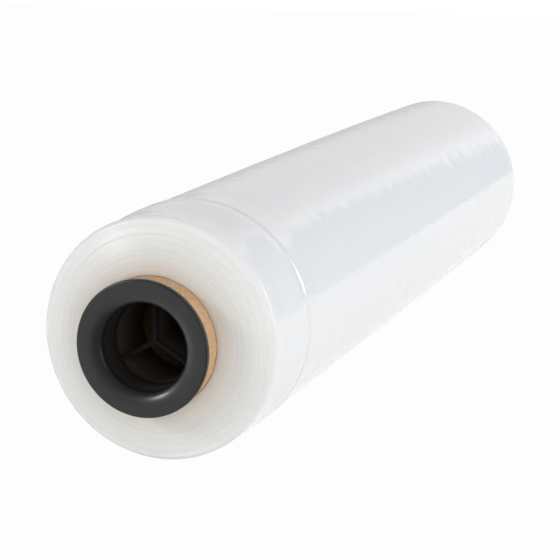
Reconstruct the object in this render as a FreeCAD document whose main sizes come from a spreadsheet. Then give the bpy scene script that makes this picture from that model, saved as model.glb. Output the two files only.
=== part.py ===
"""A roll of clear stretch wrap, lying on its side, in millimetres.

The film is wound on a spiral paper core. The core stands a little way out of the film at both
ends, and a black moulded plug is pushed into each of its mouths. The roll's axis runs along X. The
origin is on the floor, under the middle of the roll.
"""
import FreeCAD, Part
import os
import Sketcher

# Name, value in millimetres, and what it is.
SIZES = [
    ("film_width", 500.0, "width of the film, at the innermost turns"),
    ("film_dome", 4.8, "how far the outermost turns stand back from the innermost, at each end"),
    ("film_radius", 55.3, "radius of the winding at its two ends"),
    ("film_crown", 1.1, "how much larger the radius is in the middle of the roll"),
    ("shoulder", 3.0, "round corner between an end face and the winding's side"),
    ("turn_depth", 0.45, "depth of the valleys between bands of turns on the end faces"),
    ("ridge_place", 42.0, "gauge ridge: from the film's outer edge to its crest"),
    ("ridge_rise", 26.0, "gauge ridge: length of its slow side, towards the roll's end"),
    ("ridge_fall", 7.0, "gauge ridge: length of its steep side"),
    ("ridge_height", 1.1, "gauge ridge: height of its crest"),
    ("groove_height", 0.4, "height of the groove past the gauge ridge"),
    ("flat_depth", 0.55, "how far the winding's own weight flattens it where it lies"),
    ("core_bore", 50.8, "inside diameter of the paper core"),
    ("core_wall", 4.2, "wall of the paper core"),
    ("core_overhang", 11.3, "how far the core stands out of the film at each end"),
    ("core_chamfer", 0.4, "worn corner of the core's cut ends"),
    ("flange_lip", 1.1, "how far the plug's flange stands out past the core's outside"),
    ("flange_thickness", 2.4, "plug flange"),
    ("flange_round", 0.8, "rounded rim of the plug flange"),
    ("plug_bore", 39.4, "plug: inside diameter"),
    ("plug_wall", 3.0, "plug: wall of the tube behind the flange"),
    ("plug_length", 45.0, "plug: length of the tube that goes into the core"),
    ("mouth_round", 4.0, "plug: round lip where the flange turns into the bore"),
    ("plug_clearance", 0.1, "between the plug's grip ribs and the core's bore"),
    ("fin_depth", 15.0, "plug: from the flange's face to the fins' front edges"),
    ("fin_thickness", 2.2, "plug: thickness of each fin"),
    ("fin_step", 0.5, "plug: how much narrower the bore is behind the fins' front edges"),
    ("rib_thickness", 2.5, "plug: thickness of each grip rib on the outside of the tube"),
    ("rib_setback", 4.0, "plug: from the tube's inner end to the end of the grip ribs"),
    ("rib_taper", 2.0, "plug: length of the sloped lead-in on each grip rib"),
]
# Bands of turns that show on each end face, and points that draw the crown's arch.
TURN_BANDS = 12
CROWN_STATIONS = 10
# The slow side of the gauge ridge is steeper at first: where it bends, as shares of its length
# (from the crest) and of its height.
RIDGE_BEND_PLACE = 1 / 3
RIDGE_BEND_HEIGHT = 0.8
FIN_COUNT = 3
RIB_COUNT = 8

# Derived cells, each a formula over the sizes above.
FORMULAS = [
    ("core_radius", "core_bore / 2 + core_wall"),
    ("film_half", "film_width / 2"),
    ("edge_half", "film_half - film_dome"),
    ("face_radius", "film_radius - shoulder"),
    ("side_half", "edge_half - shoulder"),
    ("ridge_crest", "ridge_place - edge_half"),
    ("groove", "ridge_crest + ridge_fall"),
    ("axis_height", "film_radius + film_crown - flat_depth"),
    ("core_half", "film_half + core_overhang"),
    ("flange_face", "core_half + flange_thickness"),
    ("flange_radius", "core_radius + flange_lip"),
    ("bore_radius", "plug_bore / 2"),
    ("tube_radius", "bore_radius + plug_wall"),
    ("grip_radius", "core_bore / 2 - plug_clearance"),
    ("fin_radius", "bore_radius - fin_step"),
    ("tube_end", "flange_thickness + plug_length"),
    ("rib_end", "tube_end - rib_setback"),
]

NODES = ["film_roll", "paper_core", "left_end_plug", "right_end_plug"]


def fill_sheet(doc):
    """The spreadsheet: each driving size in its own named cell, then the cells worked out from them."""
    sheet = doc.addObject("Spreadsheet::Sheet", "Sizes")
    rows = [(name, str(value), note) for name, value, note in SIZES]
    rows += [(name, "=" + formula, "worked out") for name, formula in FORMULAS]
    for row, (name, content, note) in enumerate(rows, start=1):
        sheet.set(f"A{row}", name)
        sheet.set(f"B{row}", content)
        sheet.setAlias(f"B{row}", name)
        sheet.set(f"C{row}", note)
    doc.recompute()
    return sheet


def cells(formula):
    """The formula with each cell's name written as an expression on another object needs it."""
    names = sorted((row[0] for row in SIZES + FORMULAS), key=len, reverse=True)
    words = formula.replace("(", " ( ").replace(")", " ) ").split()
    return " ".join("Sizes." + word if word in names else word for word in words)


def value(sheet, formula):
    """The formula's present value, from which a sketch starts."""
    names = {row[0]: float(sheet.get(row[0])) for row in SIZES + FORMULAS}
    words = formula.replace("(", " ( ").replace(")", " ) ").split()
    numbers = " ".join(repr(names[word]) if word in names else word for word in words)
    return float(FreeCAD.Units.Quantity(numbers).Value)


def new_sketch(body, name, plane):
    """A sketch on one of the body's own origin planes."""
    sketch = body.newObject("Sketcher::SketchObject", name)
    role = {part.Role: part for part in body.Origin.OriginFeatures}
    sketch.AttachmentSupport = [(role[plane], "")]
    sketch.MapMode = "FlatFace"
    return sketch


def pin_point(sketch, sheet, geometry, end, across, up):
    """Holds one end of a sketch element at the place that two formulas give."""
    for kind, formula in (("DistanceX", across), ("DistanceY", up)):
        start = value(sheet, formula)
        index = sketch.addConstraint(Sketcher.Constraint(kind, -1, 1, geometry, end, start))
        sketch.setExpression(f"Constraints[{index}]", cells(formula))


def closed_outline(sketch, sheet, corners, arcs=()):
    """Lines through the corners and back to the first, each corner pinned by its two formulas.

    arcs maps the number of the corner that a quarter round starts from to the formulas of its
    centre. That round then takes the place of the straight line to the next corner.
    """
    arcs = dict(arcs)
    points = [FreeCAD.Vector(value(sheet, a), value(sheet, b), 0) for a, b in corners]
    count = len(corners)
    start_ends = []
    for number, point in enumerate(points):
        following = points[(number + 1) % count]
        if number in arcs:
            centre = FreeCAD.Vector(*(value(sheet, part) for part in arcs[number]), 0)
            middle = (point + following) * 0.5 - centre
            middle = centre + middle.normalize() * (point - centre).Length
            geometry = sketch.addGeometry(Part.Arc(point, middle, following))
            drawn = sketch.Geometry[geometry]
            forward = (drawn.StartPoint - point).Length < (drawn.EndPoint - point).Length
            start_ends.append((geometry, 1, 2) if forward else (geometry, 2, 1))
        else:
            geometry = sketch.addGeometry(Part.LineSegment(point, following))
            start_ends.append((geometry, 1, 2))
    for number, (geometry, start, end) in enumerate(start_ends):
        after, after_start, _ = start_ends[(number + 1) % count]
        sketch.addConstraint(Sketcher.Constraint("Coincident", geometry, end, after, after_start))
    for number, (geometry, start, _) in enumerate(start_ends):
        pin_point(sketch, sheet, geometry, start, *corners[number])
        if number in arcs:
            pin_centre(sketch, sheet, geometry, arcs[number])


def pin_centre(sketch, sheet, geometry, centre):
    """Holds a quarter round by one coordinate of its centre: its two ends settle the rest."""
    index = sketch.addConstraint(
        Sketcher.Constraint("DistanceX", -1, 1, geometry, 3, value(sheet, centre[0])))
    sketch.setExpression(f"Constraints[{index}]", cells(centre[0]))


def revolve(body, sketch, name):
    """One full turn of the sketch about the body's X axis."""
    turned = body.newObject("PartDesign::Revolution", name)
    turned.Profile = sketch
    turned.ReferenceAxis = (sketch, ["H_Axis"])
    turned.Angle = 360
    return turned


def end_face_points(size):
    """Points up one end face of the winding, from the core to the shoulder, as (across, radius).

    The crests lie on a dome, flat by the core and falling back towards the shoulder. Between two
    crests, where one band of turns gives way to the next, there is a shallow valley.
    """
    points = [(size["film_half"], size["core_radius"])]
    for half_step in range(1, 2 * TURN_BANDS + 1):
        share = half_step / (2 * TURN_BANDS)
        inset = size["turn_depth"] if half_step % 2 else 0.0
        across = size["film_half"] - size["film_dome"] * share ** 2 - inset
        radius = size["core_radius"] + (size["face_radius"] - size["core_radius"]) * share
        points.append((across, radius))
    return points


def side_points(size):
    """Points along the winding's side: the gauge ridge near the left end, then the long crown."""
    low, crest, groove = size["film_radius"], size["ridge_crest"], size["groove"]
    ridge, hollow = size["ridge_height"], size["groove_height"]
    points = [
        (-size["side_half"], low),
        (crest - size["ridge_rise"], low),
        (crest - size["ridge_rise"] * RIDGE_BEND_PLACE, low + ridge * RIDGE_BEND_HEIGHT),
        (crest, low + ridge),
        (groove - size["ridge_fall"] / 2, low + (ridge + hollow) / 2),
        (groove, low + hollow),
    ]
    # The crown is an arch from the groove to the far shoulder.
    for station in range(1, CROWN_STATIONS):
        share = station / CROWN_STATIONS
        foot = hollow if share < 0.5 else 0.0
        arch = 4 * share * (1 - share)
        across = groove + (size["side_half"] - groove) * share
        points.append((across, low + foot + (size["film_crown"] - foot) * arch))
    points.append((size["side_half"], low))
    return points


def make_film_roll(doc, sheet):
    """The winding: one solid of revolution with its turns on both end faces, and a flat to lie on."""
    size = {row[0]: float(sheet.get(row[0])) for row in SIZES + FORMULAS}
    face = end_face_points(size)
    left = [FreeCAD.Vector(-across, 0, radius) for across, radius in face]
    side = [FreeCAD.Vector(across, 0, radius) for across, radius in side_points(size)]
    right = [FreeCAD.Vector(across, 0, radius) for across, radius in reversed(face)]
    edges = [Part.LineSegment(a, b).toShape() for run in (left, side, right)
             for a, b in zip(run, run[1:])]
    edges.append(shoulder_arc(size, left[-1], side[0], -1))
    edges.append(shoulder_arc(size, right[0], side[-1], 1))
    edges.append(Part.LineSegment(right[-1], left[0]).toShape())
    outline = Part.Face(Part.Wire(Part.__sortEdges__(edges)))
    winding = outline.revolve(FreeCAD.Vector(0, 0, 0), FreeCAD.Vector(1, 0, 0), 360)

    length, width = size["film_width"], 2 * size["film_radius"]
    corner = FreeCAD.Vector(-length / 2, -width / 2, -size["axis_height"] - width)
    below_floor = Part.makeBox(length, width, width, corner)
    film_roll = doc.addObject("Part::Feature", "film_roll")
    film_roll.Shape = winding.cut(below_floor)
    return film_roll


def shoulder_arc(size, face_end, side_end, sign):
    """The round corner from the end of a face's outline to the end of the side's."""
    centre = FreeCAD.Vector(sign * size["side_half"], 0, size["face_radius"])
    outward = FreeCAD.Vector(sign, 0, 1).normalize() * size["shoulder"]
    return Part.Arc(face_end, centre + outward, side_end).toShape()


def make_paper_core(doc, sheet):
    """The paper core: a plain tube whose cut ends have lost their sharp corners."""
    body = doc.addObject("PartDesign::Body", "paper_core")
    outline = new_sketch(body, "core_outline", "XZ_Plane")
    closed_outline(outline, sheet, [
        ("-1 * core_half", "core_bore / 2"),
        ("-1 * core_half", "core_radius - core_chamfer"),
        ("-1 * core_half + core_chamfer", "core_radius"),
        ("core_half - core_chamfer", "core_radius"),
        ("core_half", "core_radius - core_chamfer"),
        ("core_half", "core_bore / 2"),
    ])
    revolve(body, outline, "core_tube")
    return body


def make_end_plug(doc, sheet, label):
    """A moulded end plug, its flange's face at X = 0 and its tube going towards -X.

    The flange rolls over a round lip into the bore. Deeper in, three fins meet on the axis, and
    grip ribs on the outside of the tube wedge it in the core.
    """
    body = doc.addObject("PartDesign::Body", label)
    outline = new_sketch(body, label + "_outline", "XZ_Plane")
    rim = "flange_radius - flange_round"
    closed_outline(outline, sheet, [
        ("-1 * mouth_round", "bore_radius"),
        ("0", "bore_radius + mouth_round"),
        ("0", rim),
        ("-1 * flange_round", "flange_radius"),
        ("-1 * flange_thickness", "flange_radius"),
        ("-1 * flange_thickness", "tube_radius"),
        ("-1 * tube_end", "tube_radius"),
        ("-1 * tube_end", "fin_radius"),
        ("-1 * fin_depth", "fin_radius"),
        ("-1 * fin_depth", "bore_radius"),
    ], {
        0: ("-1 * mouth_round", "bore_radius + mouth_round"),
        2: ("-1 * flange_round", rim),
    })
    revolve(body, outline, label + "_shell")
    doc.recompute()

    fin = new_sketch(body, label + "_fin", "XZ_Plane")
    closed_outline(fin, sheet, [
        ("-1 * tube_end", "0"),
        ("-1 * tube_end", "tube_radius - plug_wall / 2"),
        ("-1 * fin_depth", "tube_radius - plug_wall / 2"),
        ("-1 * fin_depth", "0"),
    ])
    pattern(doc, body, fin, label + "_fins", "fin_thickness", FIN_COUNT)

    rib = new_sketch(body, label + "_rib", "XZ_Plane")
    closed_outline(rib, sheet, [
        ("-1 * flange_thickness", "tube_radius - plug_wall / 2"),
        ("-1 * flange_thickness", "grip_radius"),
        ("rib_taper - rib_end", "grip_radius"),
        ("-1 * rib_end", "tube_radius"),
        ("-1 * rib_end", "tube_radius - plug_wall / 2"),
    ])
    pattern(doc, body, rib, label + "_ribs", "rib_thickness", RIB_COUNT)
    return body


def pattern(doc, body, sketch, name, thickness, count):
    """A plate padded evenly to both sides of its sketch, then repeated round the X axis."""
    plate = body.newObject("PartDesign::Pad", name + "_first")
    plate.Profile = sketch
    plate.SideType = "Symmetric"
    plate.setExpression("Length", cells(thickness))
    doc.recompute()
    role = {part.Role: part for part in body.Origin.OriginFeatures}
    ring = body.newObject("PartDesign::PolarPattern", name)
    ring.Originals = [plate]
    ring.Axis = (role["X_Axis"], [""])
    ring.Angle = 360
    ring.Occurrences = count
    body.Tip = ring
    doc.recompute()


def place(body, across, turned=False):
    """Moves a finished body onto the roll's axis, with its own origin at the place given along X."""
    axis, angle = FreeCAD.Vector(0, 0, 1), 180 if turned else 0
    body.Placement = FreeCAD.Placement(FreeCAD.Vector(0, 0, 0), FreeCAD.Rotation(axis, angle))
    body.setExpression("Placement.Base.x", cells(across))
    body.setExpression("Placement.Base.z", cells("axis_height"))


def check(doc):
    """Stops on any failed object, and on any sub-part that isn't one sound solid."""
    failed = [part.Label for part in doc.Objects if {"Invalid", "Error"} & set(part.State)]
    if failed:
        raise RuntimeError(f"failed objects: {failed}")
    for label in NODES:
        shape = doc.getObjectsByLabel(label)[0].Shape
        if shape.isNull() or not shape.isValid() or len(shape.Solids) != 1:
            raise RuntimeError(f"{label} isn't one sound solid")


def main():
    doc = FreeCAD.newDocument("stretch_wrap_roll")
    sheet = fill_sheet(doc)
    place(make_film_roll(doc, sheet), "0")
    place(make_paper_core(doc, sheet), "0")
    place(make_end_plug(doc, sheet, "left_end_plug"), "-1 * flange_face", turned=True)
    place(make_end_plug(doc, sheet, "right_end_plug"), "flange_face")
    doc.recompute()
    check(doc)
    os.makedirs("parts", exist_ok=True)
    for label in NODES:
        shape = doc.getObjectsByLabel(label)[0].Shape
        shape.exportStep(f"parts/{label}.step")
        box = shape.optimalBoundingBox()
        print(f"{label}: volume {shape.Volume / 1000:.1f} cm3, faces {len(shape.Faces)}, "
              f"X {box.XMin:.1f} to {box.XMax:.1f}, Z {box.ZMin:.1f} to {box.ZMax:.1f}")


main()
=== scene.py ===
# %% [markdown]
# # A roll of stretch wrap
# Clear stretch film, wound some hundreds of turns deep on a brown paper core. A black moulded plug
# closes each end of the core. The roll lies on its side, and its axis runs along X.
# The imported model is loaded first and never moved. Every piece below is built around it, in metres.

import math

import bmesh
import bpy
from mathutils import Matrix, Vector, noise


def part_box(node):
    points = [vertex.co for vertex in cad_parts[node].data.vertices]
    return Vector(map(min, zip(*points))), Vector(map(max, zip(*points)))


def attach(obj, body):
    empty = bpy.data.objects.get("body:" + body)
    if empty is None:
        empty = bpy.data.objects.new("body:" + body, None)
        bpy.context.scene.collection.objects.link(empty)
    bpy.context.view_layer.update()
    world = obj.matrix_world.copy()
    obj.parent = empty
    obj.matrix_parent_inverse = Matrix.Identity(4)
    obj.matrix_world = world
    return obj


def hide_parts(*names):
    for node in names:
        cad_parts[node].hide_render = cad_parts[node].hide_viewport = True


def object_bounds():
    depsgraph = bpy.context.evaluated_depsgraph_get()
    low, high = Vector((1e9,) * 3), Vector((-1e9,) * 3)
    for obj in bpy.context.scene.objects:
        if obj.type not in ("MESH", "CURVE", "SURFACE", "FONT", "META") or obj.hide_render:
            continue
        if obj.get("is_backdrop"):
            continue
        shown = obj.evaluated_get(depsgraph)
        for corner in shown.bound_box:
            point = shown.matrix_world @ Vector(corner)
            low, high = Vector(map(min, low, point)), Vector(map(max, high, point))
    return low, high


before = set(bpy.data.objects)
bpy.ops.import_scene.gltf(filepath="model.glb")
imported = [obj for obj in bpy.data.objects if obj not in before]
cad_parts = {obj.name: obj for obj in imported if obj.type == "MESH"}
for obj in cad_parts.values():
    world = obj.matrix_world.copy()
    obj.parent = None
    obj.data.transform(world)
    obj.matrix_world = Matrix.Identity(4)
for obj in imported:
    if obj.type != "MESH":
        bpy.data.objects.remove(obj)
cad_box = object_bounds()
scene = bpy.context.scene
print("nodes in the frame:", sorted(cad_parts))

# %% [markdown]
# ## Sizes that come from the frame
# The roll's axis, the core and the flanges are read from the frame's boxes, so that each new piece
# lands on its place. Only what a box can't tell, such as a fillet or the dome of an end face, is
# written here as a size of its own.

# %% Read the main sizes
MM = 0.001


def half_size(node):
    """Half the size of a node's box along X, Y and Z, and the middle of the box."""
    low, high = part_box(node)
    return (high - low) / 2, (high + low) / 2


film_half_size, _ = half_size("film_roll")
core_half_size, core_middle = half_size("paper_core")
plug_half_size, _ = half_size("right_end_plug")

AXIS_HEIGHT = core_middle.z
FILM_HALF = film_half_size.x
FILM_LARGEST_RADIUS = film_half_size.y
CORE_HALF = core_half_size.x
CORE_RADIUS = core_half_size.y
FLANGE_RADIUS = plug_half_size.y
FLANGE_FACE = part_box("right_end_plug")[1].x
TUBE_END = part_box("right_end_plug")[0].x
print(f"film {2 * FILM_HALF / MM:.1f} mm wide, core {2 * CORE_RADIUS / MM:.1f} mm outside")

# %% [markdown]
# ## The camera
# A long lens stands low and a little to the side, and looks along the roll. The place is measured
# from the middle of the roll's axis. The lens is worked out for a square picture on a 36 mm sensor.

# %% Camera
CAMERA_PLACE = Vector((-0.9508, -0.3029, 0.1878 + AXIS_HEIGHT))
CAMERA_AIM = Vector((0.92407, 0.32220, -0.20560))
LENS_LENGTH = 115.4

camera_data = bpy.data.cameras.new("camera")
camera_data.lens = LENS_LENGTH
camera_data.sensor_width = 36
camera = bpy.data.objects.new("camera", camera_data)
camera.location = CAMERA_PLACE
camera.rotation_euler = CAMERA_AIM.to_track_quat("-Z", "Y").to_euler()
scene.collection.objects.link(camera)
scene.camera = camera
scene.view_settings.view_transform = "Standard"
print("camera at", [round(v, 3) for v in camera.location])

# %% [markdown]
# ## Node helpers
# A material is a small graph. These helpers add one node, or one line of arithmetic, at a time, so
# that the graphs below read like formulas.

# %% Helpers for node graphs
def add_node(tree, kind, **settings):
    """Adds a node. Settings that name an input set that input, the others set the node itself."""
    node = tree.nodes.new(kind)
    for key, setting in settings.items():
        name = key.replace("_", " ").title()
        if name in node.inputs:
            node.inputs[name].default_value = setting
        else:
            setattr(node, key, setting)
    return node


def feed(tree, socket, source):
    """Links a socket to another one, or sets it to a plain number."""
    if isinstance(source, bpy.types.NodeSocket):
        tree.links.new(source, socket)
    else:
        socket.default_value = source


def arithmetic(tree, operation, first, second=0.0, third=0.0):
    """One Math node: the result of an operation on up to three numbers or sockets."""
    node = add_node(tree, "ShaderNodeMath", operation=operation)
    for socket, source in zip(node.inputs, (first, second, third)):
        feed(tree, socket, source)
    return node.outputs[0]


def between(tree, value, low, high, low_out=0.0, high_out=1.0):
    """A smooth step: low_out below low, high_out above high."""
    node = add_node(tree, "ShaderNodeMapRange", interpolation_type="SMOOTHSTEP")
    for socket, source in zip(node.inputs[:5], (value, low, high, low_out, high_out)):
        feed(tree, socket, source)
    return node.outputs["Result"]


def blend_colours(tree, share, first, second):
    """Mixes two colours, each a socket or a plain red, green and blue."""
    node = add_node(tree, "ShaderNodeMix", data_type="RGBA")
    feed(tree, node.inputs[0], share)
    for socket, source in ((node.inputs[6], first), (node.inputs[7], second)):
        feed(tree, socket, source if isinstance(source, bpy.types.NodeSocket) else (*source, 1.0))
    return node.outputs[2]


def noise_at(tree, vector, scale, detail):
    """Noise between 0 and 1 at a point."""
    node = add_node(tree, "ShaderNodeTexNoise", scale=scale, detail=detail)
    feed(tree, node.inputs["Vector"], vector)
    return node.outputs[0]


def stretched(tree, vector, along, across, up):
    """The point with each of its axes scaled, which stretches the pattern that is read there."""
    node = add_node(tree, "ShaderNodeVectorMath", operation="MULTIPLY")
    feed(tree, node.inputs[0], vector)
    node.inputs[1].default_value = (along, across, up)
    return node.outputs[0]


print("node helpers ready")

# %% [markdown]
# ## The studio
# The light is even and comes mostly from the surroundings. They are painted into the world by
# direction, which keeps them in place from every side. A direction has three parts: forward along
# the roll, to the left, and up. Each part of the room is a soft mask over these.

# %% World: the direction of a ray
def grey(level):
    """A grey of one level."""
    return (level, level, level)


JUST_AHEAD = 0.05

world = bpy.data.worlds.new("studio")
scene.world = world
world.use_nodes = True
sky = world.node_tree
sky.nodes.clear()
direction = add_node(sky, "ShaderNodeTexCoord").outputs["Generated"]
parts = add_node(sky, "ShaderNodeSeparateXYZ")
feed(sky, parts.inputs[0], direction)
forward, leftward, upward = parts.outputs
ahead = arithmetic(sky, "GREATER_THAN", forward, JUST_AHEAD)
rays = add_node(sky, "ShaderNodeLightPath")

# How far to the right of the roll's own direction, as the tangent of an angle.
rightward = arithmetic(sky, "DIVIDE", arithmetic(sky, "MULTIPLY", leftward, -1.0), forward)
print("an empty studio:", world.name)

# %% [markdown]
# Behind the camera the room is bright on the right, which lights the milky end of the roll. In the
# black plug that would glare, so the rays that mirror see other levels there: nearly dark on the
# right and dim on the left. The ceiling is dimmer than the walls, and the side wall on the right is
# bright.

# %% World: the room
ROOM_LIGHT = grey(0.92)
CEILING_LIGHT = grey(0.435)
BACK_CEILING_LIGHT = grey(0.10)
RIGHT_BACK_LIGHT = grey(2.42)
LEFT_BACK_LIGHT = grey(0.12)
MIRRORED_RIGHT_LIGHT = grey(0.14)
MIRRORED_LEFT_LIGHT = grey(0.70)
SIDE_LIGHT = grey(1.47)
BACK_TO_FRONT = (-0.3, 0.5)
RIGHT_TO_LEFT = (-0.7, 0.7)
WALL_TO_CEILING = (0.30, 0.80)
SIDE_FORWARD = 0.2
SIDE_LEFTWARD = -0.98
SIDE_EDGE = (0.75, 0.95)

mirrored = rays.outputs["Is Glossy Ray"]
right_back = blend_colours(sky, mirrored, RIGHT_BACK_LIGHT, MIRRORED_RIGHT_LIGHT)
left_back = blend_colours(sky, mirrored, LEFT_BACK_LIGHT, MIRRORED_LEFT_LIGHT)
low_back = blend_colours(sky, between(sky, leftward, *RIGHT_TO_LEFT), right_back, left_back)
to_front = between(sky, forward, *BACK_TO_FRONT)
low_room = blend_colours(sky, to_front, low_back, ROOM_LIGHT)
high_room = blend_colours(sky, to_front, BACK_CEILING_LIGHT, CEILING_LIGHT)
room = blend_colours(sky, between(sky, upward, *WALL_TO_CEILING), low_room, high_room)
across = arithmetic(sky, "MULTIPLY", leftward, SIDE_LEFTWARD)
to_side = arithmetic(sky, "MULTIPLY_ADD", forward, SIDE_FORWARD, across)
room = blend_colours(sky, between(sky, to_side, *SIDE_EDGE), room, SIDE_LIGHT)
print("room painted")

# %% [markdown]
# The side of the roll is seen at a flat angle, so it mirrors what stands beyond its far end: a dim
# wall on the left, a bright screen on the right, and a cool gap cut into the screen. The gap's
# upright edge and the end of the table draw the bluish band along the film.

# %% World: the wall, the screen and the gap
FAR_WALL_LIGHT = (0.66, 0.66, 0.665)
SCREEN_LIGHT = (1.18, 1.18, 1.22)
GAP_LIGHT = (0.575, 0.645, 0.735)
WALL_EDGE = (-0.24, -0.10)
WALL_TOP = (0.0, 0.20)
SCREEN_EDGE = (0.05, 0.19)
GAP_START = (0.186, 0.194)
GAP_END = (0.52, 0.72)
GAP_TOP = (0.75, 0.85)

at_wall = arithmetic(sky, "MULTIPLY", between(sky, rightward, *WALL_EDGE, 1.0, 0.0), ahead)
at_wall = arithmetic(sky, "MULTIPLY", at_wall, between(sky, upward, *WALL_TOP, 1.0, 0.0))
room = blend_colours(sky, at_wall, room, FAR_WALL_LIGHT)
low_ahead = arithmetic(sky, "MULTIPLY", ahead, between(sky, upward, *GAP_TOP, 1.0, 0.0))
on_screen = arithmetic(sky, "MULTIPLY", low_ahead, between(sky, rightward, *SCREEN_EDGE))
room = blend_colours(sky, on_screen, room, SCREEN_LIGHT)
past_start = between(sky, rightward, *GAP_START)
before_end = between(sky, rightward, *GAP_END, 1.0, 0.0)
in_gap = arithmetic(sky, "MULTIPLY", low_ahead, arithmetic(sky, "MULTIPLY", past_start, before_end))
room = blend_colours(sky, in_gap, room, GAP_LIGHT)
print("far side painted")

# %% [markdown]
# The table is mirrored too. Beyond the roll it is white, and dimmer far off on the left. Behind the
# camera, where the plug mirrors it, it runs from dark on the right to bright on the left. The camera
# itself sees plain white past the table's edge.

# %% World: the table, and what the camera sees
WHITE = grey(1.0)
TABLE_LIGHT = grey(1.0)
DIM_TABLE_LIGHT = grey(0.56)
BACK_TABLE_LIGHT = grey(0.78)
RIGHT_BACK_TABLE_LIGHT = grey(0.15)
LEFT_BACK_TABLE_LIGHT = grey(1.30)
TABLE_END = (-0.074, -0.066)
DIM_TO_BRIGHT = (-0.14, 0.05)
FAR_TO_NEAR = (-0.20, -0.25)
DARK_BACK_EDGE = (-0.35, 0.20)
BRIGHT_BACK_EDGE = (0.60, 0.90)

nearer = arithmetic(sky, "MAXIMUM", between(sky, rightward, *DIM_TO_BRIGHT),
                    between(sky, upward, *FAR_TO_NEAR))
bright_end = arithmetic(sky, "MULTIPLY", ahead, nearer)
far_table = blend_colours(sky, bright_end, DIM_TABLE_LIGHT, TABLE_LIGHT)
back_table = blend_colours(sky, between(sky, leftward, *DARK_BACK_EDGE),
                           RIGHT_BACK_TABLE_LIGHT, BACK_TABLE_LIGHT)
back_table = blend_colours(sky, between(sky, leftward, *BRIGHT_BACK_EDGE),
                           back_table, LEFT_BACK_TABLE_LIGHT)
table = blend_colours(sky, ahead, back_table, far_table)
room = blend_colours(sky, between(sky, upward, *TABLE_END), table, room)
seen = blend_colours(sky, rays.outputs["Is Camera Ray"], room, WHITE)
background = add_node(sky, "ShaderNodeBackground", strength=1.0)
feed(sky, background.inputs["Color"], seen)
world_output = add_node(sky, "ShaderNodeOutputWorld")
feed(sky, world_output.inputs["Surface"], background.outputs[0])
print("world light set")

# %% [markdown]
# Three soft boxes add what the surroundings don't. A small bright one and a long faint one, both
# high on the left, draw the arc on the plug's round lip. One far on the right glints on the film's
# crease and corner. An area lamp's power is spread over its face, so a helper takes the brightness
# of the face instead.

# %% Lamps
NEAR_MOUTH = Vector((-FLANGE_FACE, 0.0, AXIS_HEIGHT))


def soft_box(name, offset, width, height, radiance):
    """A rectangular area lamp that stands off from the near plug's mouth and points at it."""
    light = bpy.data.lights.new(name, "AREA")
    light.shape = "RECTANGLE"
    light.size = width
    light.size_y = height
    light.energy = radiance * math.pi * width * height
    lamp = bpy.data.objects.new(name, light)
    lamp.location = NEAR_MOUTH + Vector(offset)
    lamp.rotation_euler = (-Vector(offset)).to_track_quat("-Z", "Y").to_euler()
    scene.collection.objects.link(lamp)
    print(f"{name}: {width:.2f} by {height:.2f} m, {light.energy:.2f} W")


soft_box("left_box", (-1.02, 1.14, 0.73), width=0.48, height=0.12, radiance=40.0)
soft_box("left_bar", (-1.10, 1.40, 0.52), width=1.50, height=0.34, radiance=1.0)
soft_box("right_box", (2.44, -1.91, 0.66), width=0.50, height=0.90, radiance=5.2)

# %% [markdown]
# ## The floor
# A plain white table. Towards the camera it is pushed close to pure white, but it is still a lit
# surface, so the roll's soft shadow stays on it. Glossy surfaces see the world's own white table
# instead, which has its far end in the right place.

# %% Floor
FLOOR_SIZE = 6.0
FLOOR_COLOUR = (0.93, 0.93, 0.93, 1.0)
FLOOR_WHITE_SHARE = 0.96

floor_mesh = bpy.data.meshes.new("floor")
build = bmesh.new()
bmesh.ops.create_grid(build, x_segments=1, y_segments=1, size=FLOOR_SIZE / 2)
build.to_mesh(floor_mesh)
build.free()
floor = bpy.data.objects.new("floor", floor_mesh)
scene.collection.objects.link(floor)
floor.visible_glossy = False

floor_material = bpy.data.materials.new("white_table")
floor_material.use_nodes = True
tree = floor_material.node_tree
tree.nodes.clear()
lit = add_node(tree, "ShaderNodeBsdfDiffuse", color=FLOOR_COLOUR)
plain = add_node(tree, "ShaderNodeEmission", color=(*WHITE, 1.0), strength=1.0)
from_camera = add_node(tree, "ShaderNodeLightPath").outputs["Is Camera Ray"]
mixed = add_node(tree, "ShaderNodeMixShader")
feed(tree, mixed.inputs[0], arithmetic(tree, "MULTIPLY", from_camera, FLOOR_WHITE_SHARE))
feed(tree, mixed.inputs[1], lit.outputs[0])
feed(tree, mixed.inputs[2], plain.outputs[0])
output = add_node(tree, "ShaderNodeOutputMaterial")
feed(tree, output.inputs["Surface"], mixed.outputs[0])
floor_mesh.materials.append(floor_material)
floor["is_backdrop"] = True
print("floor laid")

# %% [markdown]
# ## Turning a profile
# The film, the core and the plugs are all round, so each starts as a profile: a chain of points
# that say how far along the axis and how far from it. Spinning the chain once round the axis makes
# the skin. It closes on itself because the spin merges its last step with its first.

# %% Helpers for round pieces
def spun(profile, steps):
    """A bmesh spun round the X axis from a closed profile of (along, radius) points."""
    build = bmesh.new()
    chain = [build.verts.new((along, 0.0, radius)) for along, radius in profile]
    edges = [build.edges.new(pair) for pair in zip(chain, chain[1:] + chain[:1])]
    bmesh.ops.spin(build, geom=chain + edges, cent=(0, 0, 0), axis=(1, 0, 0),
                   angle=2 * math.pi, steps=steps, use_merge=True)
    bmesh.ops.remove_doubles(build, verts=build.verts, dist=1e-6)
    bmesh.ops.recalc_face_normals(build, faces=build.faces)
    return build


def round_corner(centre, radius, start, end, steps):
    """Points on an arc of a profile, from one angle to another in degrees (0 along X, 90 outwards)."""
    turns = [math.radians(start + (end - start) * step / steps) for step in range(steps + 1)]
    return [(centre[0] + radius * math.cos(a), centre[1] + radius * math.sin(a)) for a in turns]


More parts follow.
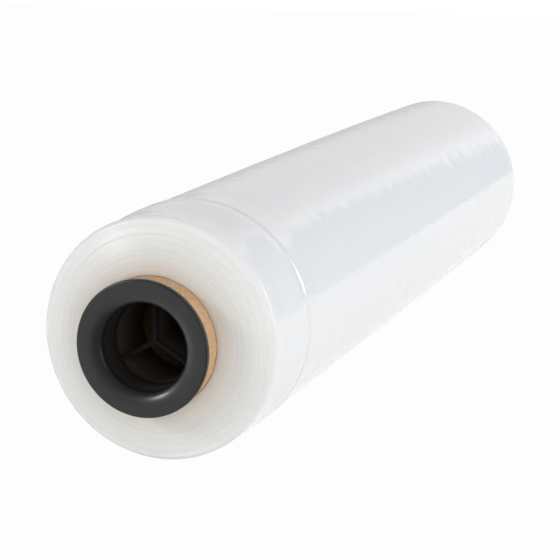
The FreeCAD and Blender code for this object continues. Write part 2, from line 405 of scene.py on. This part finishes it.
def finished(build, name, smooth_below=40.0):
    """Puts a bmesh on the roll's axis and returns it as an object at the origin."""
    bmesh.ops.translate(build, verts=build.verts, vec=(0, 0, AXIS_HEIGHT))
    for face in build.faces:
        face.smooth = True
    for edge in build.edges:
        edge.smooth = edge.calc_face_angle(0.0) < math.radians(smooth_below)
    mesh = bpy.data.meshes.new(name)
    build.to_mesh(mesh)
    build.free()
    piece = bpy.data.objects.new(name, mesh)
    scene.collection.objects.link(piece)
    print(f"{name}: {len(mesh.polygons)} faces")
    return piece


print("round helpers ready")

# %% [markdown]
# ## The film's shape
# The turns of film lie on each other like the rings of a tree. At the ends they wander in and out
# by up to a tenth of a millimetre, in bands. Along the side, every thicker strip of the film adds
# up turn by turn to a low ring, and one such gauge ridge stands near the left end. It could all be
# a bump map, but the outline and the mirrored room show these forms, so the larger ones are
# modelled. First come the sizes that the whole profile shares.

# %% Film: main sizes
DOME = 4.8 * MM
SHOULDER = 3.0 * MM
CROWN = 1.1 * MM
END_RADIUS = FILM_LARGEST_RADIUS - CROWN
EDGE_HALF = FILM_HALF - DOME
SIDE_HALF = EDGE_HALF - SHOULDER
FACE_RADIUS = END_RADIUS - SHOULDER
print(f"winding {2 * END_RADIUS / MM:.1f} mm across at its ends, side {2 * SIDE_HALF / MM:.1f} mm long")

# %% [markdown]
# An end face is a row of points from the core outwards. The face is domed, so each point stands a
# little further back than the one before. A wave and a smooth noise along the row make the bands of
# turns, and two fine ledges show where a few turns slipped.

# %% Film: the end faces
TURN_BANDS = 12
BAND_DEPTH = 0.05 * MM
TURN_WANDER = 0.05 * MM
FACE_RINGS = 46
INNER_SETBACK = 0.5 * MM
INNER_ROUND = 0.35 * MM
LEDGES = ((0.79, 0.12 * MM), (0.95, 0.30 * MM))
LEDGE_LIP = 0.02 * MM
LEDGE_STEP = 0.05 * MM
LEDGE_FADE = 2.5 * MM


def wander(value, seed):
    """Smooth noise between -1 and 1 along a line."""
    return noise.noise(Vector((value, seed, 0.37 * seed)))


def with_ledges(points):
    """Sets a face's points back by fine ledges, each of which fades out over the turns past it."""
    for place, depth in LEDGES:
        radius = CORE_RADIUS + (FACE_RADIUS - CORE_RADIUS) * place
        after = next(index for index, point in enumerate(points) if point[1] > radius)
        along = points[after][0] + LEDGE_LIP
        points[after:after] = [(along, radius), (along - depth, radius + LEDGE_STEP)]
        for index in range(after + 2, len(points)):
            past = (points[index][1] - radius) / LEDGE_FADE
            points[index] = (points[index][0] - depth * max(0.0, 1 - past), points[index][1])
    return points


def face_profile(seed):
    """One end face from the core to the shoulder, as (how far out from the middle, radius)."""
    points = [(FILM_HALF - INNER_SETBACK, CORE_RADIUS)]
    start = CORE_RADIUS + INNER_ROUND
    for ring in range(FACE_RINGS + 1):
        share = ring / FACE_RINGS
        band = math.sin(math.pi * TURN_BANDS * share) ** 2
        inset = BAND_DEPTH * band * (0.4 + 0.6 * abs(wander(share * 9.0, seed)))
        inset += TURN_WANDER * (1 + wander(share * 60.0, seed + 3))
        radius = start + (FACE_RADIUS - start) * share
        points.append((FILM_HALF - DOME * share ** 2 - inset, radius))
    return with_ledges(points)


left_face = face_profile(1.0)
right_face = face_profile(8.0)
print(f"end faces: {len(left_face)} and {len(right_face)} points")

# %% [markdown]
# The side is a formula for the winding's radius at any place along it. It adds up the ridge, the
# shallow groove past it, the long arch of the body, the crease on the ridge and the gauge rings. The
# points stand closer together at the crease, where the surface turns fastest.

# %% Film: the side
RIDGE_CREST = 42.0 * MM - EDGE_HALF
RIDGE_RISE = 26.0 * MM
RIDGE_FALL = 22.0 * MM
GROOVE_HEIGHT = 0.35 * MM
CREASE_DEPTH = 0.30 * MM
CREASE_FALL = 7.0 * MM
CREASE_RISE = 2.8 * MM
GAUGE_DEPTH = 0.09 * MM
GAUGE_LENGTH = 11.0 * MM
SIDE_SPACING = 1.9 * MM


def smooth(share):
    """A smooth step from 0 to 1 as the share goes from 0 to 1."""
    share = min(max(share, 0.0), 1.0)
    return share * share * (3 - 2 * share)


def side_radius(along):
    """The winding's radius at a place along its side."""
    rise = min(max((along - RIDGE_CREST) / RIDGE_RISE + 1, 0.0), 1.0)
    share = (along - RIDGE_CREST) / (SIDE_HALF - RIDGE_CREST)
    if along < RIDGE_CREST:
        height = CROWN * math.sin(rise * math.pi / 2)
    else:
        fall = min((along - RIDGE_CREST) / RIDGE_FALL, 1.0)
        ridge = (1 + math.cos(math.pi * fall)) / 2
        arch = 4 * share * (1 - share)
        hollow = GROOVE_HEIGHT * max(0.0, 1 - 2 * share)
        body = hollow + (CROWN - hollow) * arch
        height = ridge * CROWN + (1 - ridge) * min(body, CROWN)
    from_crease = along - RIDGE_CREST
    reach = CREASE_FALL if from_crease < 0 else CREASE_RISE
    crease = CREASE_DEPTH * smooth(1 - abs(from_crease) / reach)
    gauge = wander(along / GAUGE_LENGTH, 5.0) + 0.4 * wander(along * 3 / GAUGE_LENGTH, 9.0) - 1
    return END_RADIUS + height - crease + GAUGE_DEPTH * gauge


def side_stations():
    """Places along the side where the profile has a point, closer together at the gauge ridge."""
    stations, along = [], -SIDE_HALF
    while along < SIDE_HALF:
        stations.append(along)
        at_crease = -CREASE_FALL < along - RIDGE_CREST < CREASE_RISE + 1 * MM
        along += SIDE_SPACING / 4 if at_crease else SIDE_SPACING
    return stations + [SIDE_HALF]


side_points = [(along, side_radius(along)) for along in side_stations()]
print(f"side: {len(side_points)} points")

# %% [markdown]
# The parts are chained from the left face to the right one. A quarter circle joins each face to the
# side. A face runs outwards from the core, so the left one is mirrored and the right one reversed.

# %% Film: the whole profile
mirrored_face = [(-along, radius) for along, radius in left_face]
left_shoulder = round_corner((-SIDE_HALF, FACE_RADIUS), SHOULDER, 180, 90, 8)[1:-1]
right_shoulder = round_corner((SIDE_HALF, FACE_RADIUS), SHOULDER, 90, 0, 8)[1:-1]
profile = mirrored_face + left_shoulder + side_points + right_shoulder + right_face[::-1]
print(f"film profile: {len(profile)} points")

# %% [markdown]
# The spun skin is still perfectly round. Real film isn't: each ring swells and sinks a little on
# its way round. A slow noise moves every point in or out by a few hundredths of a millimetre, which
# is enough to fray the mirrored edge of the gap. Under the roll, what would go through the table is
# pressed flat.

# %% Film: spin it and unsettle it
FILM_STEPS = 192
SWELL = 0.07 * MM
SWELL_LENGTH = 34.0 * MM
RIPPLE = 0.02 * MM
RIPPLE_LENGTH = 9.0 * MM
RIPPLE_WIDTH = 40.0 * MM

build = spun(profile, FILM_STEPS)
for vertex in build.verts:
    point = vertex.co
    radius = math.hypot(point.y, point.z)
    if radius <= CORE_RADIUS + 1e-6:
        continue
    on_side = min(max((radius - FACE_RADIUS) / SHOULDER, 0.0), 1.0)
    swell = SWELL * (noise.noise(point / SWELL_LENGTH) - 0.5)
    ripple = RIPPLE * noise.noise(Vector((
        point.x / RIPPLE_LENGTH, point.y / RIPPLE_WIDTH, point.z / RIPPLE_WIDTH)))
    scale = 1 + on_side * (swell + ripple) / radius
    point.y *= scale
    point.z *= scale
    point.z = max(point.z, -AXIS_HEIGHT)
film = finished(build, "film_winding")

# %% [markdown]
# ## Shared finishes
# An effect that is used more than once is made as a node group, which works like a node of its own.
# `mottle` is the slight unevenness that any moulded or pressed surface has: one coarse noise, and a
# fainter one that is seven times as fine.

# %% Node group: mottle
COARSE_SHARE = 0.6
FINE_SHARE = 0.4
FINE_RATE = 7.0


def new_group(name, inputs, outputs):
    """An empty node group with named inputs and outputs, and its two end nodes."""
    group = bpy.data.node_groups.new(name, "ShaderNodeTree")
    for label, kind in inputs:
        group.interface.new_socket(label, in_out="INPUT", socket_type=kind)
    for label, kind in outputs:
        group.interface.new_socket(label, in_out="OUTPUT", socket_type=kind)
    return group, group.nodes.new("NodeGroupInput"), group.nodes.new("NodeGroupOutput")


def use_group(tree, group, **inputs):
    """Places a group in a material, with each of its inputs given by name."""
    node = tree.nodes.new("ShaderNodeGroup")
    node.node_tree = group
    for key, source in inputs.items():
        feed(tree, node.inputs[key.replace("_", " ").capitalize()], source)
    return node


mottle, start, end = new_group(
    "mottle",
    [("Vector", "NodeSocketVector"), ("Scale", "NodeSocketFloat"), ("Amount", "NodeSocketFloat")],
    [("Factor", "NodeSocketFloat"), ("Height", "NodeSocketFloat")])
coarse = add_node(mottle, "ShaderNodeTexNoise", detail=2.0)
fine = add_node(mottle, "ShaderNodeTexNoise", detail=2.0)
feed(mottle, coarse.inputs["Vector"], start.outputs["Vector"])
feed(mottle, fine.inputs["Vector"], start.outputs["Vector"])
feed(mottle, coarse.inputs["Scale"], start.outputs["Scale"])
feed(mottle, fine.inputs["Scale"], arithmetic(mottle, "MULTIPLY", start.outputs["Scale"], FINE_RATE))
both = arithmetic(mottle, "ADD", arithmetic(mottle, "MULTIPLY", coarse.outputs[0], COARSE_SHARE),
                  arithmetic(mottle, "MULTIPLY", fine.outputs[0], FINE_SHARE))
centred = arithmetic(mottle, "SUBTRACT", both, 0.5)
factor = arithmetic(mottle, "MULTIPLY_ADD", centred, start.outputs["Amount"], 1.0)
feed(mottle, end.inputs["Factor"], factor)
feed(mottle, end.inputs["Height"], both)
print("group:", mottle.name)

# %% [markdown]
# `turn_lines` draws the fine parallel lines of wound layers. A noise that reads only one number
# gives lines wherever that number stays the same: rings when it is the radius, hoops when it is the
# place along the axis. One output has single lines, the other the broader bands they gather in.

# %% Node group: turn lines
turn_lines, start, end = new_group(
    "turn_lines",
    [("Place", "NodeSocketFloat"), ("Pitch", "NodeSocketFloat"), ("Seed", "NodeSocketFloat")],
    [("Line", "NodeSocketFloat"), ("Band", "NodeSocketFloat")])
lines_per_length = arithmetic(turn_lines, "DIVIDE", 1.0, start.outputs["Pitch"])
for output_name, share, detail in (("Line", 1.0, 2.0), ("Band", 0.12, 3.0)):
    layer = add_node(turn_lines, "ShaderNodeTexNoise", noise_dimensions="1D", detail=detail,
                     scale=1.0)
    rate = arithmetic(turn_lines, "MULTIPLY", lines_per_length, share)
    position = arithmetic(turn_lines, "MULTIPLY_ADD", start.outputs["Place"], rate,
                          start.outputs["Seed"])
    feed(turn_lines, layer.inputs["W"], position)
    feed(turn_lines, end.inputs[output_name], layer.outputs[0])
print("group:", turn_lines.name)

# %% [markdown]
# ## The materials
# Every material here is one Principled shader, which covers film, paper and plastic alike. These
# helpers add a bump, change a tone, or find a point's place on the roll. That place is what most
# patterns below are drawn against, so they stay on the piece from every side.

# %% Helpers for materials
def new_material(name):
    """A material with one Principled shader on its output. Returns the material, tree and shader."""
    material = bpy.data.materials.new(name)
    material.use_nodes = True
    shader = material.node_tree.nodes["Principled BSDF"]
    return material, material.node_tree, shader


def bump(tree, height, distance, strength=1.0, under=None):
    """A bump whose height of 1 stands for a real distance."""
    node = add_node(tree, "ShaderNodeBump", strength=strength, distance=distance)
    feed(tree, node.inputs["Height"], height)
    if under is not None:
        feed(tree, node.inputs["Normal"], under)
    return node.outputs["Normal"]


def scaled(tree, vector, scale):
    """A colour or vector made stronger or weaker by a number."""
    node = add_node(tree, "ShaderNodeVectorMath", operation="SCALE")
    feed(tree, node.inputs[0], vector)
    feed(tree, node.inputs["Scale"], scale)
    return node.outputs[0]


def roll_place(tree):
    """Where a point is on the roll: its own coordinates, its place along X, and its radius."""
    point = add_node(tree, "ShaderNodeTexCoord").outputs["Object"]
    centred = add_node(tree, "ShaderNodeMapping", vector_type="POINT")
    centred.inputs["Location"].default_value = (0, 0, -AXIS_HEIGHT)
    feed(tree, centred.inputs["Vector"], point)
    parts = add_node(tree, "ShaderNodeSeparateXYZ")
    feed(tree, parts.inputs[0], centred.outputs[0])
    along, sideways, upwards = parts.outputs
    radius = arithmetic(tree, "SQRT", arithmetic(
        tree, "MULTIPLY_ADD", sideways, sideways, arithmetic(tree, "MULTIPLY", upwards, upwards)))
    return centred.outputs[0], along, radius


def colour_ramp(tree, factor, stops):
    """A colour ramp through (place, red, green, blue) stops."""
    node = add_node(tree, "ShaderNodeValToRGB")
    ramp = node.color_ramp
    ramp.interpolation = "B_SPLINE"
    while len(ramp.elements) < len(stops):
        ramp.elements.new(0.5)
    for element, (place, *colour) in zip(ramp.elements, stops):
        element.position = place
        element.color = (*colour, 1.0)
    feed(tree, node.inputs[0], factor)
    return node.outputs["Color"]


print("material helpers ready")

# %% [markdown]
# ## The film's finish
# One layer of film is clear. Hundreds of layers scatter the light between them and turn milky. Real
# clear layers would be slow to render, so a bright white with light scattered under its skin stands
# in for them. Near the core a colour ramp over the radius makes the white darker and browner: partly
# the brown paper showing through the last few millimetres, partly painted shade from the flange.

# %% Film material: colour
# Partly painted shade: darker and browner towards the core, where the flange shades the face.
FACE_TINT_AND_SHADE = (
    (0.00, 0.735, 0.690, 0.625),
    (0.10, 0.765, 0.728, 0.672),
    (0.20, 0.775, 0.752, 0.705),
    (0.33, 0.785, 0.775, 0.742),
    (0.46, 0.805, 0.800, 0.770),
    (0.60, 0.830, 0.830, 0.802),
    (0.76, 0.865, 0.867, 0.848),
    (0.92, 0.888, 0.890, 0.885),
)
SIDE_COLOUR = (0.85, 0.855, 0.86)
FACE_PITCH = 0.22 * MM
SIDE_PITCH = 1.7 * MM
PAINTED_CREASE_SHADE = 0.955
LINE_EDGES = (0.2, 0.8)
SIDE_TONES = (0.985, 1.01)
FACE_TONES = (0.97, 1.02)

film_material, tree, shader = new_material("stretch_film")
point, along, radius = roll_place(tree)
distance_out = arithmetic(tree, "ABSOLUTE", along)
on_face = between(tree, distance_out, SIDE_HALF + 1.0 * MM, EDGE_HALF + 0.2 * MM)
share_out = arithmetic(tree, "DIVIDE", arithmetic(tree, "SUBTRACT", radius, CORE_RADIUS),
                       END_RADIUS - CORE_RADIUS)
white = blend_colours(tree, on_face, SIDE_COLOUR, colour_ramp(tree, share_out, FACE_TINT_AND_SHADE))

face_lines = use_group(tree, turn_lines, place=radius, pitch=FACE_PITCH, seed=4.0)
side_lines = use_group(tree, turn_lines, place=along, pitch=SIDE_PITCH, seed=21.0)
haze = use_group(tree, mottle, vector=point, scale=45.0, amount=0.05)
# Painted shade: the base colour is a little darker along the crease.
crease_middle = RIDGE_CREST + CREASE_RISE / 2
from_crease = arithmetic(tree, "ABSOLUTE", arithmetic(tree, "SUBTRACT", along, crease_middle))
painted_crease_shade = between(tree, from_crease, CREASE_RISE * 0.4, CREASE_RISE * 1.5, PAINTED_CREASE_SHADE, 1.0)

shade = add_node(tree, "ShaderNodeMix", data_type="FLOAT")
feed(tree, shade.inputs[0], on_face)
feed(tree, shade.inputs[2], between(tree, side_lines.outputs["Line"], *LINE_EDGES, *SIDE_TONES))
feed(tree, shade.inputs[3], between(tree, face_lines.outputs["Band"], *LINE_EDGES, *FACE_TONES))
shade = arithmetic(tree, "MULTIPLY", shade.outputs[0], haze.outputs["Factor"])
shade = arithmetic(tree, "MULTIPLY", shade, painted_crease_shade)
feed(tree, shader.inputs["Base Color"], scaled(tree, white, shade))
print("film colour mixed")

# %% [markdown]
# The gloss changes at the corner: the side has the smooth skin of the last turn, the ends are silky.
# Three bumps lie under it: the turns on the ends, the fine rings on the side, and broad soft waves
# that make the mirrored room waver. Light also goes a few millimetres into the film and comes out
# again, red a little further than blue, which makes it look milky and not painted.

# %% Film material: gloss, relief and depth
SIDE_ROUGHNESS = 0.07
FACE_ROUGHNESS = 0.28
FACE_RELIEF = 0.06 * MM
SIDE_RELIEF = 0.020 * MM
SIDE_WAVES = 0.15 * MM
MILKINESS = 0.5
MILK_DEPTH = 9.0 * MM
MILK_REACH = (1.0, 0.96, 0.9)

feed(tree, shader.inputs["Roughness"],
     between(tree, on_face, 0.0, 1.0, SIDE_ROUGHNESS, FACE_ROUGHNESS))
off_face = arithmetic(tree, "SUBTRACT", 1.0, on_face)
turns = arithmetic(tree, "MULTIPLY", face_lines.outputs["Line"], on_face)
rings = arithmetic(tree, "MULTIPLY", side_lines.outputs["Line"], off_face)
waves = arithmetic(tree, "MULTIPLY", side_lines.outputs["Band"], off_face)
relief = bump(tree, turns, FACE_RELIEF)
relief = bump(tree, rings, SIDE_RELIEF, under=relief)
relief = bump(tree, waves, SIDE_WAVES, under=relief)
feed(tree, shader.inputs["Normal"], relief)
shader.inputs["Subsurface Weight"].default_value = MILKINESS
shader.inputs["Subsurface Radius"].default_value = MILK_REACH
shader.inputs["Subsurface Scale"].default_value = MILK_DEPTH
shader.inputs["IOR"].default_value = 1.5
film.data.materials.append(film_material)
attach(film, "root")
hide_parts("film_roll")
print("film finished")

# %% [markdown]
# ## The paper core
# Strips of brown paper are wound in a spiral and glued, one ply over another. Only a short piece
# shows at each end, between the film and the flange. It is a tube with a slightly worn rim.

# %% Core: shape
CORE_WALL = 4.2 * MM
CORE_CHAMFER = 0.4 * MM
CORE_STEPS = 192

core_bore = CORE_RADIUS - CORE_WALL
core_profile = [(-CORE_HALF, core_bore)]
core_profile += [(-CORE_HALF, CORE_RADIUS - CORE_CHAMFER), (-CORE_HALF + CORE_CHAMFER, CORE_RADIUS)]
core_profile += [(CORE_HALF - CORE_CHAMFER, CORE_RADIUS), (CORE_HALF, CORE_RADIUS - CORE_CHAMFER)]
core_profile += [(CORE_HALF, core_bore)]
core = finished(spun(core_profile, CORE_STEPS), "spiral_core", smooth_below=30.0)

# %% [markdown]
# Paperboard is pressed fibre, so its brown is a fine noise between a dark and a light paper, drawn
# out round the tube, under larger soft blotches. The inside of the tube is darker: painted shade.

# %% Core: paper
DARK_PAPER = (0.59, 0.368, 0.19)
LIGHT_PAPER = (0.79, 0.522, 0.30)
PAPER_EDGES = (0.30, 0.72)
INSIDE_SHADE_TONE = 0.70
FIBRE_SCALE = 1600.0
FIBRE_DRAW = 0.35
FIBRE_DEPTH = 0.05 * MM

core_material, tree, shader = new_material("brown_paperboard")
point, along, radius = roll_place(tree)
drawn_out = stretched(tree, point, 1.0, FIBRE_DRAW, FIBRE_DRAW)
fibres = noise_at(tree, drawn_out, FIBRE_SCALE, detail=4.0)
blotches = use_group(tree, mottle, vector=point, scale=120.0, amount=0.28)
paper = blend_colours(tree, between(tree, fibres, *PAPER_EDGES), DARK_PAPER, LIGHT_PAPER)
# Painted shade: the tube's inner surface is darker.
painted_inside_shade = between(tree, radius, core_bore + 0.1 * MM, core_bore + 1.0 * MM, INSIDE_SHADE_TONE, 1.0)
tone = arithmetic(tree, "MULTIPLY", blotches.outputs["Factor"], painted_inside_shade)
feed(tree, shader.inputs["Base Color"], scaled(tree, paper, tone))
feed(tree, shader.inputs["Normal"], bump(tree, fibres, FIBRE_DEPTH, 0.6))
shader.inputs["Roughness"].default_value = 0.8
core.data.materials.append(core_material)
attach(core, "root")
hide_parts("paper_core")
print("core finished")

# %% [markdown]
# ## The end plugs
# Each plug is one moulding: a flange that sits on the cut end of the core, a lip that rolls gently
# into the bore, a short tube with grip ribs outside, and three fins that meet on the axis. The
# shell is the flange, the lip and the tube. It is round, so it starts as a profile like the film.
# The lip is a quarter of an ellipse, wider than it is deep.

# %% Plug: the shell's profile
PLUG_BORE = 19.7 * MM
PLUG_WALL = 3.0 * MM
LIP_DEPTH = 4.0 * MM
LIP_WIDTH = 7.5 * MM
LIP_STEPS = 26
RIM_ROUND = 0.8 * MM
FLANGE_THICKNESS = 2.4 * MM
FIN_DEPTH = 15.0 * MM
FIN_STEP = 0.5 * MM
SMALL_ROUND = 0.35 * MM

tube_radius = PLUG_BORE + PLUG_WALL
narrow_bore = PLUG_BORE - FIN_STEP
flange_back = FLANGE_FACE - FLANGE_THICKNESS
fin_front = FLANGE_FACE - FIN_DEPTH
lip_turns = [math.pi / 2 * step / LIP_STEPS for step in range(LIP_STEPS + 1)]
shell_profile = [(FLANGE_FACE - LIP_DEPTH * (1 - math.sin(turn)),
                  PLUG_BORE + LIP_WIDTH * (1 - math.cos(turn))) for turn in lip_turns]
shell_profile += round_corner((FLANGE_FACE - RIM_ROUND, FLANGE_RADIUS - RIM_ROUND),
                              RIM_ROUND, 0, 90, 6)
shell_profile += [(flange_back, FLANGE_RADIUS), (flange_back, tube_radius)]
shell_profile += [(TUBE_END + SMALL_ROUND, tube_radius), (TUBE_END, tube_radius - SMALL_ROUND)]
shell_profile += [(TUBE_END, narrow_bore + SMALL_ROUND), (TUBE_END + SMALL_ROUND, narrow_bore)]
shell_profile += round_corner((fin_front - SMALL_ROUND, narrow_bore + SMALL_ROUND),
                              SMALL_ROUND, 270, 360, 3)
shell_profile += [(fin_front, PLUG_BORE)]
print(f"plug profile: {len(shell_profile)} points, bore {2 * PLUG_BORE / MM:.1f} mm")

# %% [markdown]
# The fins and the grip ribs are flat plates that stand round the axis like spokes. One plate is its
# outline, drawn out to a thickness, with its edges bevelled a little because a mould can't make
# them sharp. Turned copies of it fill the ring.

# %% Plug: fins and ribs
FIN_THICKNESS = 2.2 * MM
FIN_COUNT = 3
RIB_THICKNESS = 2.5 * MM
RIB_COUNT = 8
RIB_SETBACK = 4.0 * MM
RIB_TAPER = 2.0 * MM
GRIP_RADIUS = core_bore - 0.1 * MM


def plate(corners, thickness):
    """A flat plate from (along, radius) corners, with its edges slightly rounded."""
    build = bmesh.new()
    verts = [build.verts.new((along, -thickness / 2, radius)) for along, radius in corners]
    face = build.faces.new(verts)
    grown = bmesh.ops.extrude_face_region(build, geom=[face])
    moved = [part for part in grown["geom"] if isinstance(part, bmesh.types.BMVert)]
    bmesh.ops.translate(build, verts=moved, vec=(0, thickness, 0))
    bmesh.ops.recalc_face_normals(build, faces=build.faces)
    bmesh.ops.bevel(build, geom=build.edges, offset=SMALL_ROUND, offset_type="OFFSET", segments=2,
                    profile=0.5, affect="EDGES", material=-1, clamp_overlap=True)
    return build


def plate_ring(corners, thickness, count):
    """A bmesh of copies of one plate, evenly spaced round the X axis."""
    ring = bmesh.new()
    for index in range(count):
        part = plate(corners, thickness)
        turn = Matrix.Rotation(2 * math.pi * index / count, 3, "X")
        bmesh.ops.rotate(part, verts=part.verts, cent=(0, 0, 0), matrix=turn)
        copy = bpy.data.meshes.new("plate")
        part.to_mesh(copy)
        part.free()
        ring.from_mesh(copy)
        bpy.data.meshes.remove(copy)
    return ring


in_wall = tube_radius - PLUG_WALL / 2
fin_corners = [(TUBE_END + SMALL_ROUND, -SMALL_ROUND), (fin_front, -SMALL_ROUND),
               (fin_front, in_wall), (TUBE_END + SMALL_ROUND, in_wall)]
rib_start = FLANGE_FACE - FLANGE_THICKNESS * 0.6
rib_end = TUBE_END + RIB_SETBACK
rib_corners = [(rib_end, in_wall), (rib_start, in_wall), (rib_start, GRIP_RADIUS),
               (rib_end + RIB_TAPER, GRIP_RADIUS), (rib_end, tube_radius)]
print(f"{FIN_COUNT} fins and {RIB_COUNT} ribs to a plug")

# %% [markdown]
# In the mould all of this is one body. A boolean union does the same here: it joins the shell, the
# fins and the ribs to one skin, without the walls that would lie hidden where they cross. The left
# plug is the right one mirrored, and its faces are then turned the right way out again.

# %% Plug: join the parts
PLUG_STEPS = 160


def loose_object(build, name):
    """A helper object from a bmesh, for a boolean to work with."""
    mesh = bpy.data.meshes.new(name)
    build.to_mesh(mesh)
    build.free()
    helper = bpy.data.objects.new(name, mesh)
    scene.collection.objects.link(helper)
    return helper


def joined(base, *others):
    """The union of solids as a new bmesh. The helper objects are deleted."""
    for other in others:
        union = base.modifiers.new(other.name, "BOOLEAN")
        union.operation = "UNION"
        union.solver = "EXACT"
        union.use_self = True
        union.object = other
    graph = bpy.context.evaluated_depsgraph_get()
    mesh = bpy.data.meshes.new_from_object(base.evaluated_get(graph))
    build = bmesh.new()
    build.from_mesh(mesh)
    bpy.data.meshes.remove(mesh)
    for helper in (base, *others):
        bpy.data.objects.remove(helper)
    return build


def make_plug(name, side):
    """One plug, at the right end (side 1) or mirrored to the left end (side -1)."""
    shell = loose_object(spun(shell_profile, PLUG_STEPS), "shell")
    fins = loose_object(plate_ring(fin_corners, FIN_THICKNESS, FIN_COUNT), "fins")
    ribs = loose_object(plate_ring(rib_corners, RIB_THICKNESS, RIB_COUNT), "ribs")
    build = joined(shell, fins, ribs)
    bmesh.ops.remove_doubles(build, verts=build.verts, dist=1e-6)
    if side < 0:
        bmesh.ops.scale(build, verts=build.verts, vec=(-1, 1, 1))
    bmesh.ops.recalc_face_normals(build, faces=build.faces)
    return finished(build, name, smooth_below=30.0)


print("plug maker ready")

# %% [markdown]
# The plastic is black and satin. A moulded face is never quite smooth: it keeps the fine grain of
# the tool, and it is a little shinier where it was handled. Past the lip, where nothing touches it,
# it is dull, and its black is painted a little darker and warmer there as shade.

# %% Plug material
FLANGE_BLACK = (0.0155, 0.0155, 0.016)
SHADED_MOUTH_BLACK = (0.015, 0.0125, 0.011)
SATIN = 0.30
DULL = 0.9
GRAIN_DEPTH = 0.02 * MM


def distance_from_face(tree, along):
    """How far a point of a plug lies behind the outer face of its flange."""
    return arithmetic(tree, "SUBTRACT", FLANGE_FACE, arithmetic(tree, "ABSOLUTE", along))


plug_material, tree, shader = new_material("black_plastic")
point, along, radius = roll_place(tree)
grain = use_group(tree, mottle, vector=point, scale=900.0, amount=0.5)
wear = use_group(tree, mottle, vector=point, scale=60.0, amount=0.5)
behind_lip = between(tree, distance_from_face(tree, along), LIP_DEPTH * 0.7, LIP_DEPTH * 1.8)
in_bore = between(tree, radius, PLUG_BORE + 0.2 * MM, PLUG_BORE + 1.0 * MM, 1.0, 0.0)
inside = arithmetic(tree, "MULTIPLY", behind_lip, in_bore)
# Painted shade: inside the bore the black is a little darker and warmer.
black = blend_colours(tree, inside, FLANGE_BLACK, SHADED_MOUTH_BLACK)
feed(tree, shader.inputs["Base Color"], scaled(tree, black, wear.outputs["Factor"]))
satin = arithmetic(tree, "MULTIPLY", wear.outputs["Factor"], SATIN)
dull = arithmetic(tree, "MULTIPLY", inside, DULL)
feed(tree, shader.inputs["Roughness"], arithmetic(tree, "MAXIMUM", satin, dull))
feed(tree, shader.inputs["Normal"], bump(tree, grain.outputs["Height"], GRAIN_DEPTH, 0.5))
shader.inputs["IOR"].default_value = 1.55
print("satin black mixed")

# %% [markdown]
# The fins and the bore behind them look matt. The fins' black is painted a shade darker than the
# flange's, and deeper in the bore it turns lighter and browner: painted warm light. A second material
# does this better than a mask in the first one, because it ends exactly at the edges of the fins'
# faces.

# %% Plug: the bore's material
# Painted shade: the fins are a little darker than the flange.
SHADED_FIN_BLACK = (0.011, 0.009, 0.008)
DEEP_PAINTED_WARM_LIGHT = (0.048, 0.038, 0.031)

bore_material, tree, shader = new_material("plug_bore_black")
point, along, radius = roll_place(tree)
# Painted light: deeper in the bore the black turns lighter and browner.
deep = between(tree, distance_from_face(tree, along), FIN_DEPTH + 0.3 * MM, FIN_DEPTH + 5.0 * MM)
feed(tree, shader.inputs["Base Color"], blend_colours(tree, deep, SHADED_FIN_BLACK, DEEP_PAINTED_WARM_LIGHT))
shader.inputs["Roughness"].default_value = 0.85
shader.inputs["IOR"].default_value = 1.2
print("matt black mixed")

# %% [markdown]
# Now both plugs can be made. A mesh may carry several materials, and each face keeps the number of
# its own. A face gets the bore's material if it is inside the bore and no nearer than the fins.

# %% Plug: make both plugs
PLUGS = (("near_plug", "left_end_plug", -1), ("far_plug", "right_end_plug", 1))


def past_the_fins(face):
    """Whether a face of a plug belongs to its fins or to the bore behind their front edges."""
    place = face.center - Vector((0, 0, AXIS_HEIGHT))
    inside_bore = math.hypot(place.y, place.z) < PLUG_BORE + 0.01 * MM
    return inside_bore and FLANGE_FACE - abs(place.x) > FIN_DEPTH - 0.05 * MM


for plug_name, node_name, side in PLUGS:
    plug = make_plug(plug_name, side)
    plug.data.materials.append(plug_material)
    plug.data.materials.append(bore_material)
    for face in plug.data.polygons:
        face.material_index = 1 if past_the_fins(face) else 0
    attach(plug, "root")
    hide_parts(node_name)
print("plugs finished")

# %% [markdown]
# ## The size
# The finished model has to fill the same box as the imported one, so both boxes are put side by side.

# %% Both boxes
def plain(box):
    """A box's two corners as plain lists of numbers."""
    return [list(corner) for corner in box]


{"cad": plain(cad_box), "visual": plain(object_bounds())}
